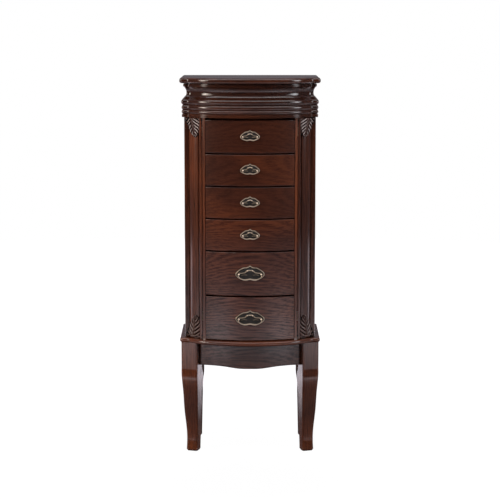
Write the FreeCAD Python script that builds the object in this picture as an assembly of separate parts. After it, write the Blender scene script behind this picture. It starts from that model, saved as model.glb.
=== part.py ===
import FreeCAD, Part
import math
import os

Vec = FreeCAD.Vector

# Jewelry armoire. Millimetres, +X right, +Y to the back, +Z up.
# The origin is on the floor, under the middle of the whole object.

# Heights
total_height = 1016.0
lid_thickness = 15.0
cornice_bottom = 911.0
plinth_top = 314.0
plinth_thickness = 12.0
gap = 1.5
lid_bottom = total_height - lid_thickness
plinth_bottom = plinth_top - plinth_thickness
opening_top = 905.0

# Plan of the case: straight sides, a short flat at each front corner, a canted
# stretch and a bowed front. Other outlines are offsets of this one.
half_width = 176.0
case_back = 134.0
plinth_back = 140.0
flat_y = -58.0
flat_inner_x = 164.0
cant_angle = math.radians(42.5)
bow_radius = 283.0
bow_centre_y = 161.0
corner_radius = 5.0
corner_growth = 0.25
valley_radius = 12.0
ridge_radius = 90.0

# Overhangs of the plan at the sides and at the front
plinth_overhang = (14.0, 18.0)
lid_overhang = (12.0, 16.0)
# Radii of the lower and the upper edge
plinth_nose = (5.0, 5.5)
lid_nose = (5.0, 7.0)

# Boards
door_thickness = 12.0
door_inner_x = half_width - door_thickness
partition_outer = 126.5
partition_front_y = -80.0
partition_thickness = 6.5
front_thickness = 16.0
front_edge_radius = 1.2
back_thickness = 6.0
top_board_bottom = cornice_bottom - 10.0
top_board_setback = 40.0
stile_setback = 1.0
ring_inner_x = 156.0
ring_back_y = 122.0
ring_thickness = 20.0
cant_back_y = -36.0
ring_front_corner = (122.0, -68.0)
post_front_y = 111.0
post_inner_x = 150.0

# Drawers, numbered from the top
drawer_half = 118.5
shallow_pitch = 86.8
shallow_count = 4
drawer_count = 6
drawer_gap = 4.0
box_half = 115.5
box_wall = 8.0
box_back_y = 118.0
box_floor = 5.0
box_headroom = 14.0
runner_height = 6.0
runner_width = 14.0
runner_front_y = -74.0
slide_clearance = 0.3

# Tray under the lid
divider_y = 24.0
divider_thickness = 4.0
divider_height = 32.0
divider_places = (-52.0, 52.0)
roll_radius = 9.0
roll_pitch = 19.0
first_roll_y = 13.0
roll_halves = (150.0, 150.0, 150.0, 130.0)

# Pulls
rod_radius = 1.7
pin_clearance = 0.05
pin_cover = 0.9
pin_end = 0.4
pin_shoulder = 0.6
bail_bend = 3.0
post_radius = 3.2
bail_reach = 7.5
plate_thickness = 2.0
pull_rise = 0.5

# Hinges
pin_radius = 1.3
knuckle_radius = 2.6
leaf_thickness = 0.6
knuckle_gap = 0.2
door_axis = (179.2, 110.25)
door_hinge_length = 36.0
door_hinge_heights = (400.0, 612.0, 825.0)
lid_axis = (137.2, lid_bottom)
lid_hinge_length = 45.0
lid_hinge_places = (-90.0, 90.0)
lid_leaf_clear = 0.5

# Legs: the front face of the top section is centred here and turned outward
leg_face_centre = (166.2, -77.0)
leg_turn = math.radians(18.0)
leg_block_bottom = 228.0
leg_edge_radius = 5.0
leg_mirror_y = 25.0
foot_height = 4.0
apron_thickness = 14.0
apron_bottom = 235.5
apron_setback = 12.0
front_apron_span = 150.0
side_apron_span = 85.0
rear_apron_y = 116.0
side_apron_overhang = 4.0
apron_clear = 20.0

# A plane well ahead of the whole case, where boards start before they are cut
ahead_y = -200.0
# How far a cutting shape runs past what it cuts
beyond = 5.0


def block(x0, x1, y0, y1, z0, z1):
    return Part.makeBox(x1 - x0, y1 - y0, z1 - z0, Vec(x0, y0, z0))


def prism(points, z0, z1):
    """Upright prism over a closed polygon of (x, y) points."""
    corners = [Vec(x, y, z0) for x, y in points]
    face = Part.Face(Part.makePolygon(corners + corners[:1]))
    return face.extrude(Vec(0, 0, z1 - z0))


def rod(radius, start, end):
    line = Vec(*end) - Vec(*start)
    return Part.makeCylinder(radius, line.Length, Vec(*start), line)


def bow(inset, z0, z1):
    """Cylinder whose wall is the bowed front, moved back by inset."""
    return Part.makeCylinder(bow_radius - inset, z1 - z0, Vec(0, bow_centre_y, z0))


def bow_y(x, inset=0.0):
    return bow_centre_y - math.sqrt((bow_radius - inset) ** 2 - x * x)


def mirrored(shape):
    return shape.mirror(Vec(0, 0, 0), Vec(1, 0, 0))


def pair(shape):
    """The right-hand shape and its left-hand mirror image."""
    return [shape, mirrored(shape)]


def save(name, shapes):
    whole = shapes if isinstance(shapes, Part.Shape) else Part.makeCompound(shapes)
    whole.exportStep("parts/" + name + ".step")
    print(name, round(whole.Volume / 1000.0, 2), "cm3", whole.isValid())


# ---- outlines

def outline_half(side, front):
    """Points of the right half, back to front: arcs are (start, middle, end)."""
    cant = (side + front) / 2
    normal = Vec(math.sin(cant_angle), -math.cos(cant_angle), 0)
    along = Vec(-math.cos(cant_angle), -math.sin(cant_angle), 0)
    knee = Vec(flat_inner_x, flat_y, 0)
    edge_x = half_width + side
    edge_y = flat_y - front
    big = bow_radius + front
    middle = Vec(0, bow_centre_y, 0)

    r1 = corner_radius + corner_growth * side
    c1 = Vec(edge_x - r1, edge_y + r1, 0)
    corner = (Vec(edge_x, c1.y, 0), c1 + Vec(r1, -r1, 0) * math.sqrt(0.5), Vec(c1.x, edge_y, 0))

    r2 = valley_radius
    x2 = flat_inner_x + (cant + r2 - math.cos(cant_angle) * (front + r2)) / math.sin(cant_angle)
    c2 = Vec(x2, edge_y - r2, 0)
    inward = Vec(0, 1, 0) - normal
    inward.normalize()
    valley = (Vec(x2, edge_y, 0), c2 + inward * r2, c2 - normal * r2)

    r3 = ridge_radius + cant
    start = knee + normal * (cant - r3) - middle
    b = start.dot(along)
    reach = -b - math.sqrt(b * b - start.dot(start) + (big - r3) ** 2)
    if reach < 0:
        reach = -b + math.sqrt(b * b - start.dot(start) + (big - r3) ** 2)
    c3 = knee + normal * (cant - r3) + along * reach
    outward = c3 - middle
    outward.normalize()
    halfway = normal + outward
    halfway.normalize()
    ridge = (c3 + normal * r3, c3 + halfway * r3, middle + outward * big)
    return corner, valley, ridge


def flip(point, z):
    return Vec(-point.x, point.y, z)


def outline(side, front, z, back=case_back):
    """Closed wire of the plan, offset by side and front, at height z."""
    edges = []
    here = Vec(half_width + side, back, z)
    arcs = outline_half(side, front)
    right = [[Vec(p.x, p.y, z) for p in arc] for arc in arcs]
    left = [[flip(p, z) for p in reversed(arc)] for arc in reversed(arcs)]
    nose = Vec(0, bow_centre_y - bow_radius - front, z)
    for index, arc in enumerate(right + left):
        if index == len(right):
            edges.append(Part.Arc(here, nose, arc[0]).toShape())
        else:
            edges.append(Part.LineSegment(here, arc[0]).toShape())
        edges.append(Part.Arc(*arc).toShape())
        here = arc[2]
    edges.append(Part.LineSegment(here, flip(edges[0].Vertexes[0].Point, z)).toShape())
    edges.append(Part.LineSegment(Vec(-half_width - side, back, z), Vec(half_width + side, back, z)).toShape())
    return Part.Wire(edges)


def slab(overhang, z0, z1, back):
    return Part.Face(outline(*overhang, z0, back)).extrude(Vec(0, 0, z1 - z0))


def arc_levels(start, middle, end, steps):
    """Offset and height along the arc through three (offset, height) points."""
    curve = Part.Arc(Vec(start[0], 0, start[1]), Vec(middle[0], 0, middle[1]), Vec(end[0], 0, end[1]))
    points = curve.toShape().discretize(steps + 1)
    return [(p.x, p.z) for p in points]


def nosed(shape, radius_low, radius_high):
    """Round the lower and upper edges all round, except along the back."""
    box = shape.BoundBox
    low = []
    high = []
    for edge in shape.Edges:
        if edge.BoundBox.ZLength > 0.01 or edge.BoundBox.YMin > box.YMax - 0.01:
            continue
        if edge.BoundBox.ZMin < box.ZMin + 0.01:
            low.append(edge)
        else:
            high.append(edge)
    shape = shape.makeFillet(radius_low, low)
    high = [e for e in shape.Edges if e.BoundBox.ZLength < 0.01 and e.BoundBox.ZMin > box.ZMax - 0.01
            and e.BoundBox.YMin < box.YMax - 0.01]
    return shape.makeFillet(radius_high, high)


# ---- plinth, legs and aprons

def plinth():
    return nosed(slab(plinth_overhang, plinth_bottom, plinth_top, plinth_back), *plinth_nose)


# Height, outer and inner edge along the face, front and back across it
leg_sections = [
    (leg_block_bottom, 22.6, -23.9, 0.0, -42.0),
    (218.0, 22.4, -24.1, 1.2, -46.0),
    (205.0, 21.2, -24.4, 2.6, -51.0),
    (171.0, 18.7, -23.9, 0.0, -45.5),
    (138.0, 18.2, -22.4, -5.0, -43.5),
    (95.0, 15.9, -21.0, -9.0, -45.0),
    (52.0, 11.8, -20.3, -11.0, -44.0),
    (24.0, 10.4, -21.0, -8.5, -39.0),
    (foot_height, 10.0, -22.4, -4.6, -33.5),
]
foot_face = (0.0, 7.6, -20.2, -6.8, -31.0)


def leg_wire(z, outer, inner, front, back):
    """Rounded rectangle in the turned frame of the leg."""
    along = Vec(math.cos(leg_turn), math.sin(leg_turn), 0)
    out = Vec(math.sin(leg_turn), -math.cos(leg_turn), 0)
    base = Vec(leg_face_centre[0], leg_face_centre[1], z)
    r = leg_edge_radius
    cut = r * (1 - math.sqrt(0.5))

    def at(u, n):
        return base + along * u + out * n

    ring = [(outer, back, -1, 1), (outer, front, -1, -1), (inner, front, 1, -1), (inner, back, 1, 1)]
    edges = []
    ends = []
    for index, (u, n, du, dn) in enumerate(ring):
        first = at(u, n + dn * r)
        last = at(u + du * r, n)
        if index % 2 == 0:
            first, last = last, first
        edges.append((first, at(u + du * cut, n + dn * cut), last))
        ends.append((first, last))
    made = []
    for index, arc in enumerate(edges):
        made.append(Part.Arc(*arc).toShape())
        made.append(Part.LineSegment(ends[index][1], ends[(index + 1) % len(ends)][0]).toShape())
    return Part.Wire(made)


def front_leg():
    top = leg_sections[0]
    post = Part.Face(leg_wire(*top)).extrude(Vec(0, 0, plinth_bottom - top[0]))
    wires = [leg_wire(*section) for section in leg_sections]
    foot = Part.makeLoft([leg_wire(*leg_sections[-1]), leg_wire(*foot_face)], True, True)
    return post.multiFuse([Part.makeLoft(wires, True, False), foot])


def leg_clear():
    """The block that every apron is cut back to."""
    top = leg_sections[0]
    grown = (top[0] - apron_clear,) + top[1:]
    return Part.Face(leg_wire(*grown)).extrude(Vec(0, 0, plinth_bottom - grown[0]))


def to_back(shape):
    return shape.mirror(Vec(0, leg_mirror_y, 0), Vec(0, 1, 0))


# Lift of the lower edge over its middle, for fractions of the half span
apron_lift = [(0.0, 0.0), (0.2, 0.5), (0.4, 4.0), (0.6, 6.0), (0.8, 5.5), (1.0, 2.5)]


def shaped_board(half_span):
    """Tall board in the XZ plane with the serpentine lower edge, running far to the back."""
    right = [Vec(t * half_span, ahead_y, apron_bottom + lift) for t, lift in apron_lift]
    left = [Vec(-p.x, p.y, p.z) for p in reversed(right[1:])]
    curve = Part.BSplineCurve()
    curve.interpolate(left + right)
    a, b = left[0], right[-1]
    high = plinth_bottom
    frame = Part.makePolygon([b, Vec(b.x, b.y, high), Vec(a.x, a.y, high), a])
    face = Part.Face(Part.Wire([curve.toShape()] + frame.Edges))
    return face.extrude(Vec(0, -2 * ahead_y, 0))


def between_legs(board, legs):
    """The board cut back to the legs, without the scraps beyond them."""
    for leg in legs:
        board = board.cut(leg)
    return max(board.Solids, key=lambda solid: solid.Volume)


def front_apron():
    low = leg_sections[0][0] - apron_clear
    ring = bow(apron_setback, low, plinth_bottom).cut(bow(apron_setback + apron_thickness, low, plinth_bottom))
    span = front_apron_span
    board = ring.common(shaped_board(span)).common(block(-span, span, ahead_y, cant_back_y, low, plinth_bottom))
    return between_legs(board, pair(leg_clear()))


def rear_apron():
    span = front_apron_span
    board = shaped_board(span).common(
        block(-span, span, rear_apron_y, rear_apron_y + apron_thickness, 0, plinth_bottom))
    return between_legs(board, pair(to_back(leg_clear())))


def side_apron():
    board = shaped_board(side_apron_span)
    board.rotate(Vec(0, 0, 0), Vec(0, 0, 1), 90)
    board.translate(Vec(0, leg_mirror_y, 0))
    outer = half_width + side_apron_overhang
    board = board.common(block(outer - apron_thickness, outer, ahead_y, -ahead_y, 0, plinth_bottom))
    return between_legs(board, [leg_clear(), to_back(leg_clear())])


# ---- case

def partition():
    return block(partition_outer - partition_thickness, partition_outer, partition_front_y,
                 case_back - back_thickness, plinth_top, top_board_bottom)


def rear_post():
    return block(post_inner_x, half_width, post_front_y, case_back, plinth_top, cornice_bottom)


def back_panel():
    return block(-post_inner_x, post_inner_x, case_back - back_thickness, case_back, plinth_top, cornice_bottom)


def front_region(right_points, inset, z0, z1):
    """Board whose front is the bow at inset and whose right edge follows the points."""
    last_x = right_points[-1][0]
    points = right_points + [(last_x, ahead_y)]
    points += [(-x, y) for x, y in reversed(points)]
    return prism(points, z0, z1).common(bow(inset, z0, z1))


def case_top():
    back = case_back - back_thickness
    edge = door_inner_x - gap
    right = [(post_inner_x, back), (post_inner_x, post_front_y), (edge, post_front_y),
             (edge, cant_back_y), (partition_outer, flat_y)]
    return front_region(right, top_board_setback, top_board_bottom, cornice_bottom)


def stile():
    inner = partition_outer - partition_thickness - slide_clearance
    return block(inner, partition_outer, ahead_y, partition_front_y, plinth_top, cornice_bottom).common(
        bow(stile_setback, plinth_top, cornice_bottom))


def drawer_base(index):
    """Height of the lower edge of a drawer front, counted from the top."""
    if index < shallow_count:
        return opening_top - shallow_pitch * (index + 1)
    low = plinth_top + gap
    deep_pitch = (opening_top - shallow_pitch * shallow_count - low) / (drawer_count - shallow_count)
    return low + deep_pitch * (drawer_count - 1 - index)


def drawer_top(index):
    if index == 0:
        return opening_top
    return drawer_base(index - 1) - drawer_gap


def drawer_runners():
    inner = partition_outer - partition_thickness
    runners = []
    for index in range(drawer_count):
        low = drawer_base(index)
        runners += pair(block(inner - runner_width, inner, runner_front_y, case_back - back_thickness,
                              low, low + runner_height))
    return runners


# Offset and height along the cornice, in stretches that are straight or arcs
def cornice_stretches():
    z = cornice_bottom
    return [
        [(5.9, z), (5.9, z + 6.5)],
        [(3.6, z + 6.5), (3.6, z + 9.0)],
        arc_levels((3.6, z + 9.0), (6.6, z + 14.0), (3.6, z + 19.0), 6),
        arc_levels((3.6, z + 19.0), (6.6, z + 25.5), (3.4, z + 32.0), 6),
        arc_levels((3.0, z + 32.0), (7.6, z + 40.5), (1.6, z + 49.0), 8),
        arc_levels((1.6, z + 49.0), (-6.2, z + 64.5), (2.3, z + 81.5), 8),
        [(2.3, z + 81.5), (2.3, z + 87.5)],
        [(-2.0, z + 87.5), (-2.0, lid_bottom)],
    ]


def cornice_ring():
    """The whole moulded ring, before it is split at its mitres."""
    right = [(ring_inner_x, ring_back_y), (ring_inner_x, cant_back_y), ring_front_corner]
    hollow = front_region(right, ring_thickness, cornice_bottom - beyond, lid_bottom + beyond)
    levels = []
    for stretch in cornice_stretches():
        wires = [outline(offset, offset, z) for offset, z in stretch]
        levels.append(Part.makeLoft(wires, True, len(wires) == 2).cut(hollow))
    return levels[0].multiFuse(levels[1:])


def mitre_wedge():
    """Everything in front of the two corner mitres."""
    out = 60.0
    depth = 220.0
    tip = half_width + out
    front = flat_y - out
    return prism([(tip, front), (tip - depth, front + depth), (depth - tip, front + depth), (-tip, front),
                  (-tip, ahead_y), (tip, ahead_y)], cornice_bottom - beyond, lid_bottom + beyond)


def cornice_back():
    return block(-ring_inner_x, ring_inner_x, ring_back_y, case_back, cornice_bottom, lid_bottom)


def tray_dividers():
    high = cornice_bottom + divider_height
    behind = divider_y + divider_thickness
    half = divider_thickness / 2
    parts = [block(-ring_inner_x, ring_inner_x, divider_y, behind, cornice_bottom, high)]
    for x in divider_places:
        parts.append(block(x - half, x + half, behind, ring_back_y, cornice_bottom, high))
    return parts


def ring_rolls():
    rolls = []
    z = cornice_bottom + roll_radius
    for step, half in enumerate(roll_halves):
        y = first_roll_y - step * roll_pitch
        rolls.append(rod(roll_radius, (-half, y, z), (half, y, z)))
    return rolls


# ---- hinges

def knuckles(axis_at, direction, start, length, moving):
    """Hinge barrel in three knuckles: the moving leaf has the middle one."""
    third = length / 3
    shapes = []
    for index in range(3):
        if (index == 1) != moving:
            continue
        trim = knuckle_gap if moving else 0.0
        a = axis_at + direction * (start + third * index + trim)
        shapes.append(Part.makeCylinder(knuckle_radius, third - 2 * trim, a, direction))
    return shapes


def door_hinge(z, moving):
    axis = Vec(*door_axis, 0)
    up = Vec(0, 0, 1)
    length = door_hinge_length
    start = z - length / 2
    inner = door_inner_x + 3.0
    pin = Part.makeCylinder(pin_radius, length, axis + up * start, up)
    bore = Part.makeCylinder(pin_radius + pin_clearance, length, axis + up * start, up)
    back = post_front_y - gap + leaf_thickness if moving else post_front_y
    pieces = []
    for part in knuckles(axis, up, start, length, moving):
        box = part.BoundBox
        leaf = block(inner, door_axis[0], back - leaf_thickness, back, box.ZMin, box.ZMax)
        pieces.append(part.fuse(leaf))
    return pieces[0].cut(bore) if moving else pin.multiFuse(pieces)


def lid_hinge(x, moving):
    axis = Vec(0, *lid_axis)
    right = Vec(1, 0, 0)
    length = lid_hinge_length
    start = x - length / 2
    pin = Part.makeCylinder(pin_radius, length, axis + right * start, right)
    bore = Part.makeCylinder(pin_radius + pin_clearance, length, axis + right * start, right)
    near = lid_bottom + lid_leaf_clear if moving else lid_bottom - lid_leaf_clear
    far = near + 8.5 if moving else near - 19.5
    web_far = near + leaf_thickness if moving else near - leaf_thickness
    pieces = []
    for part in knuckles(axis, right, start, length, moving):
        box = part.BoundBox
        leaf = block(box.XMin, box.XMax, case_back, case_back + leaf_thickness, min(near, far), max(near, far))
        web = block(box.XMin, box.XMax, case_back, lid_axis[0], min(near, web_far), max(near, web_far))
        pieces.append(part.multiFuse([leaf, web]))
    return pieces[0].cut(bore) if moving else pin.multiFuse(pieces)


def case_hinge_leaves():
    parts = []
    for z in door_hinge_heights:
        parts += pair(door_hinge(z, False))
    parts += [lid_hinge(x, False) for x in lid_hinge_places]
    return parts


catch_heights = (360.0, 860.0)
catch_size = (5.0, 12.0, 24.0)


def door_catches():
    wide, deep, tall = catch_size
    back = cant_back_y - 18.0
    parts = []
    for z in catch_heights:
        parts += pair(block(partition_outer, partition_outer + wide, back - deep, back, z, z + tall))
    return parts


# ---- doors, modelled on the right and mirrored

door_low = plinth_top + gap
door_high = cornice_bottom - gap
door_edge_radius = 3.0
door_front_x = 128.0
groove_depth = 5.0


def door_panel():
    panel = block(door_inner_x, half_width, flat_y, post_front_y - gap, door_low, door_high)
    near = 0.1
    front = [e for e in panel.Edges if e.BoundBox.YMax < flat_y + near and e.BoundBox.XMin > half_width - near]
    return panel.makeFillet(door_edge_radius, front)


def cant_point(along, out, z=0.0):
    """Point on the canted stretch, by distance from the valley and from the face."""
    x = flat_inner_x - math.cos(cant_angle) * along + math.sin(cant_angle) * out
    y = flat_y - math.sin(cant_angle) * along - math.cos(cant_angle) * out
    return Vec(x, y, z)


def pilaster():
    """Canted board: groove, convex panel, groove and bead, extruded upright."""
    z = door_low
    length = (flat_inner_x - door_front_x) / math.cos(cant_angle)
    groove = -groove_depth
    edges = [
        ((0, 0), (0.6, groove)), ((0.6, groove), (2.4, groove)), ((2.4, groove), (2.4, 0.6)),
        ((2.4, 0.6), (19.0, 4.2), (35.6, 0.6)),
        ((35.6, 0.6), (35.6, groove)), ((35.6, groove), (40.2, groove)), ((40.2, groove), (40.2, 0)),
        ((40.2, 0), (length / 2 + 20.1, 4.0), (length, 0)),
    ]
    made = []
    for edge in edges:
        points = [cant_point(s, n, z) for s, n in edge]
        made.append((Part.Arc(*points) if len(points) == 3 else Part.LineSegment(*points)).toShape())
    end = cant_point(length, 0, z)
    start = cant_point(0, 0, z)
    back = [end, Vec(end.x, -74, z), Vec(start.x, -40, z), start]
    made += Part.makePolygon(back).Edges
    return Part.Face(Part.Wire(Part.__sortEdges__(made))).extrude(Vec(0, 0, door_high - door_low))


# Ornaments: edges of the wide end and of the tip along the cant, and how far each stands out
ornament_wide = (1.0, 41.0, 7.0)
ornament_tip = (22.0, 30.0, 2.5)
ornament_seat = 4.4
ornament_crest = 3.0
ornament_height = 54.5


def ornament(z_wide, z_tip):
    """Tapering leaf block standing on the canted panel: wide end and tip."""
    def wire(z, first, last, out):
        middle = (first + last) / 2
        high = ornament_seat + out
        ring = [cant_point(first, ornament_seat, z), cant_point(last, ornament_seat, z),
                cant_point(middle + ornament_crest, high, z), cant_point(middle - ornament_crest, high, z)]
        return Part.makePolygon(ring + ring[:1])

    return Part.makeLoft([wire(z_wide, *ornament_wide), wire(z_tip, *ornament_tip)], True, True)


def door_ornaments():
    top = door_high - 0.5
    low = door_low + 2.0
    return [ornament(top, top - ornament_height), ornament(low, low + ornament_height + 2.0)]


# Hooks: a rail along the inside of the door with upturned round hooks
rail_low = 868.0
rail_size = (6.0, 20.0)
rail_y = (-30.0, 96.0)
hook_radius = 1.3
hook_reach = 11.0
hook_upturn = 8.0
hook_count = 6
hook_pitch = 20.0
first_hook_y = -18.0


def hook_rail():
    thick, tall = rail_size
    face_x = door_inner_x - thick
    tip_x = face_x - hook_reach
    z = rail_low + tall / 2
    parts = [block(face_x, door_inner_x, *rail_y, rail_low, rail_low + tall)]
    for step in range(hook_count):
        y = first_hook_y + step * hook_pitch
        arm = rod(hook_radius, (face_x, y, z), (tip_x, y, z))
        parts.append(arm.fuse(rod(hook_radius, (tip_x, y, z - 1.0), (tip_x, y, z - 1.0 + hook_upturn))))
    return parts


# ---- drawers

def drawer_front(index):
    low = drawer_base(index)
    high = drawer_top(index)
    board = block(-drawer_half, drawer_half, ahead_y, 0, low, high).common(bow(0, low, high))
    board = board.cut(bow(front_thickness, low, high))
    near = 0.1
    face = [e for e in board.Edges if e.BoundBox.YMax < bow_y(drawer_half) + near]
    return board.makeFillet(front_edge_radius, face)


def drawer_box(index):
    low = drawer_base(index) + runner_height + slide_clearance
    high = drawer_top(index) - box_headroom
    region = bow(front_thickness, low, high)
    inner = box_half - box_wall
    end = box_back_y - box_wall
    side = block(inner, box_half, ahead_y, box_back_y, low, high).common(region)
    back = block(-inner, inner, end, box_back_y, low, high)
    floor = block(-inner, inner, ahead_y, end, low, low + box_floor).common(region)
    return pair(side) + [back, floor]


# Half width, rise above the posts, fall below them, half spacing of the posts and drop of the bail
small_pull = (28.0, 20.0, 10.0, 19.0, 10.5)
large_pull = (39.0, 23.0, 14.0, 30.5, 15.5)
# Right half of the plate's outline, as fractions of half width and of rise or fall
plate_outline = [(0.0, 1.0), (0.14, 0.84), (0.34, 0.74), (0.52, 0.76), (0.72, 0.52), (0.97, 0.22),
                 (1.0, 0.05), (0.93, -0.3), (0.72, -0.75), (0.4, -1.0)]


def pull_size(index):
    return small_pull if index < shallow_count else large_pull


def pull_height(index):
    return (drawer_base(index) + drawer_top(index)) / 2 + pull_rise


def pull_plate(index):
    """Bowed back plate with a pointed top, and two posts with cross holes."""
    half, rise, fall, spacing, _ = pull_size(index)
    z = pull_height(index)
    right = [(x * half, h * (rise if h > 0 else fall)) for x, h in plate_outline]
    left = [(-x, h) for x, h in reversed(right[1:])]
    corners = [Vec(x, ahead_y, z + h) for x, h in right + left]
    face = Part.Face(Part.makePolygon(corners + corners[:1]))
    front = bow(-plate_thickness, z - fall, z + rise)
    wood = bow(0, z - fall, z + rise)
    parts = [face.extrude(Vec(0, -ahead_y, 0)).common(front).cut(wood)]
    reach = 3 * post_radius
    nose_y = bail_y(index) - rod_radius - pin_cover
    for post in pair(rod(post_radius, (spacing, nose_y, z), (spacing, bow_y(spacing), z))):
        x = post.CenterOfMass.x
        hole = rod(rod_radius + pin_clearance, (x - reach, bail_y(index), z), (x + reach, bail_y(index), z))
        parts.append(post.cut(wood).cut(hole))
    return parts[0].multiFuse(parts[1:])


def bail_y(index):
    spacing = pull_size(index)[3]
    return bow_y(spacing) - bail_reach


def bail(index):
    """Round rod: two pins through the posts, and a loop that hangs below them."""
    _, _, _, spacing, drop = pull_size(index)
    y = bail_y(index)
    z = pull_height(index)
    bend = bail_bend
    tip = spacing - post_radius - pin_end
    out = spacing + post_radius + pin_shoulder
    low = z - drop
    sweep = drop - bend
    side = out + bend
    part = 1 - math.sqrt(0.5)
    right = [
        Part.LineSegment(Vec(tip, y, z), Vec(out, y, z)),
        Part.Arc(Vec(out, y, z), Vec(side - bend * part, y, z - bend * part), Vec(side, y, z - bend)),
        Part.Arc(Vec(side, y, low + sweep), Vec(side - sweep * part, y, low + sweep * part),
                 Vec(side - sweep, y, low)),
    ]
    across = Part.LineSegment(Vec(side - sweep, y, low), Vec(sweep - side, y, low))
    edges = [curve.toShape() for curve in right]
    others = [mirrored(edge) for edge in reversed(edges)]
    path = Part.Wire(edges + [across.toShape()] + others)
    section = Part.Wire(Part.Circle(Vec(tip, y, z), Vec(1, 0, 0), rod_radius).toShape())
    return path.makePipeShell([section], True, False)


# ---- lid

def lid_board():
    return nosed(slab(lid_overhang, lid_bottom, total_height, case_back), *lid_nose)


mirror_x = 118.0
mirror_y = (-45.0, 105.0)
mirror_thickness = 3.0
frame_thickness = 6.0
frame_width = 10.0


def mirror_frame():
    wide = frame_width
    low = lid_bottom - frame_thickness
    y0, y1 = mirror_y
    return [
        block(-mirror_x - wide, mirror_x + wide, y0 - wide, y0, low, lid_bottom),
        block(-mirror_x - wide, mirror_x + wide, y1, y1 + wide, low, lid_bottom),
        block(-mirror_x - wide, -mirror_x, y0, y1, low, lid_bottom),
        block(mirror_x, mirror_x + wide, y0, y1, low, lid_bottom),
    ]


def main():
    os.makedirs("parts", exist_ok=True)
    save("plinth", plinth())
    leg = front_leg()
    save("front_right_leg", leg)
    save("front_left_leg", mirrored(leg))
    save("rear_right_leg", to_back(leg))
    save("rear_left_leg", mirrored(to_back(leg)))
    save("front_apron", front_apron())
    save("rear_apron", rear_apron())
    save("side_aprons", pair(side_apron()))

    save("case_partitions", pair(partition()))
    save("rear_posts", pair(rear_post()))
    save("back_panel", back_panel())
    save("case_top", case_top())
    save("case_stiles", pair(stile()))
    save("drawer_runners", drawer_runners())

    ring = cornice_ring()
    wedge = mitre_wedge()
    save("cornice_front", ring.common(wedge))
    inside = block(-ring_inner_x, ring_inner_x, 0, -ahead_y, 0, 2 * total_height)
    save("cornice_sides", ring.cut(wedge).cut(inside))
    save("cornice_back", cornice_back())
    save("tray_dividers", tray_dividers())
    save("ring_rolls", ring_rolls())
    save("case_hinge_leaves", case_hinge_leaves())
    save("door_catches", door_catches())

    hinge_parts = [door_hinge(z, True) for z in door_hinge_heights]
    door = {"door_panel": [door_panel()], "door_pilaster": [pilaster()], "door_ornaments": door_ornaments(),
            "door_hook_rail": hook_rail(), "door_hinge_leaves": hinge_parts}
    for name, shapes in door.items():
        save("right_" + name, shapes)
        save("left_" + name, [mirrored(shape) for shape in shapes])

    for index in range(drawer_count):
        start = "drawer_" + str(index + 1)
        save(start + "_front", drawer_front(index))
        save(start + "_box", drawer_box(index))
        save(start + "_pull_plate", pull_plate(index))
        save(start + "_pull_bail", bail(index))

    save("lid_board", lid_board())
    save("lid_mirror", block(-mirror_x, mirror_x, *mirror_y, lid_bottom - mirror_thickness, lid_bottom))
    save("lid_mirror_frame", mirror_frame())
    save("lid_hinge_leaves", [lid_hinge(x, True) for x in lid_hinge_places])


main()
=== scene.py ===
import bpy
import bmesh
import math
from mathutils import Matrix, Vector


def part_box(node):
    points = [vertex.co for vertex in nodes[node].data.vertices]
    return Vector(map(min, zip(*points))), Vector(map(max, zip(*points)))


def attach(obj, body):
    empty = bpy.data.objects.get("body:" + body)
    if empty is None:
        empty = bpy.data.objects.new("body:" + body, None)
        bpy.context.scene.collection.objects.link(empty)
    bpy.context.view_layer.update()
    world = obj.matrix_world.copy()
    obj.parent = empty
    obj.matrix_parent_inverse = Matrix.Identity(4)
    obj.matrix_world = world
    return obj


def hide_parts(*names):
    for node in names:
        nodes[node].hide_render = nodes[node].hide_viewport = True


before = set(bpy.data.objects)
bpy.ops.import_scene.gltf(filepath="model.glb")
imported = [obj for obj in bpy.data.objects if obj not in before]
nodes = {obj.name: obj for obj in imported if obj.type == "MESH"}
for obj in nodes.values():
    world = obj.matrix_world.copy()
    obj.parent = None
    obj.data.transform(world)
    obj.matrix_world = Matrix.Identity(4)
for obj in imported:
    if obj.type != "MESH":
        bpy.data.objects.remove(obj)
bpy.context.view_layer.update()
print("frame loaded:", len(nodes), "nodes")


class Value:
    # one output socket of a finish, with arithmetic
    def __init__(self, finish, socket):
        self.finish = finish
        self.socket = socket

    def math(self, operation, *others):
        return self.finish.node("ShaderNodeMath", {"operation": operation}, dict(enumerate((self,) + others)))

    def __add__(self, other):
        return self.math("ADD", other)

    __radd__ = __add__

    def __mul__(self, other):
        return self.math("MULTIPLY", other)

    __rmul__ = __mul__

    def __sub__(self, other):
        return self.math("SUBTRACT", other)

    def __rsub__(self, other):
        return self.finish.node("ShaderNodeMath", {"operation": "SUBTRACT"}, {0: other, 1: self})

    def __pow__(self, other):
        return self.math("POWER", other)


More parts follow.
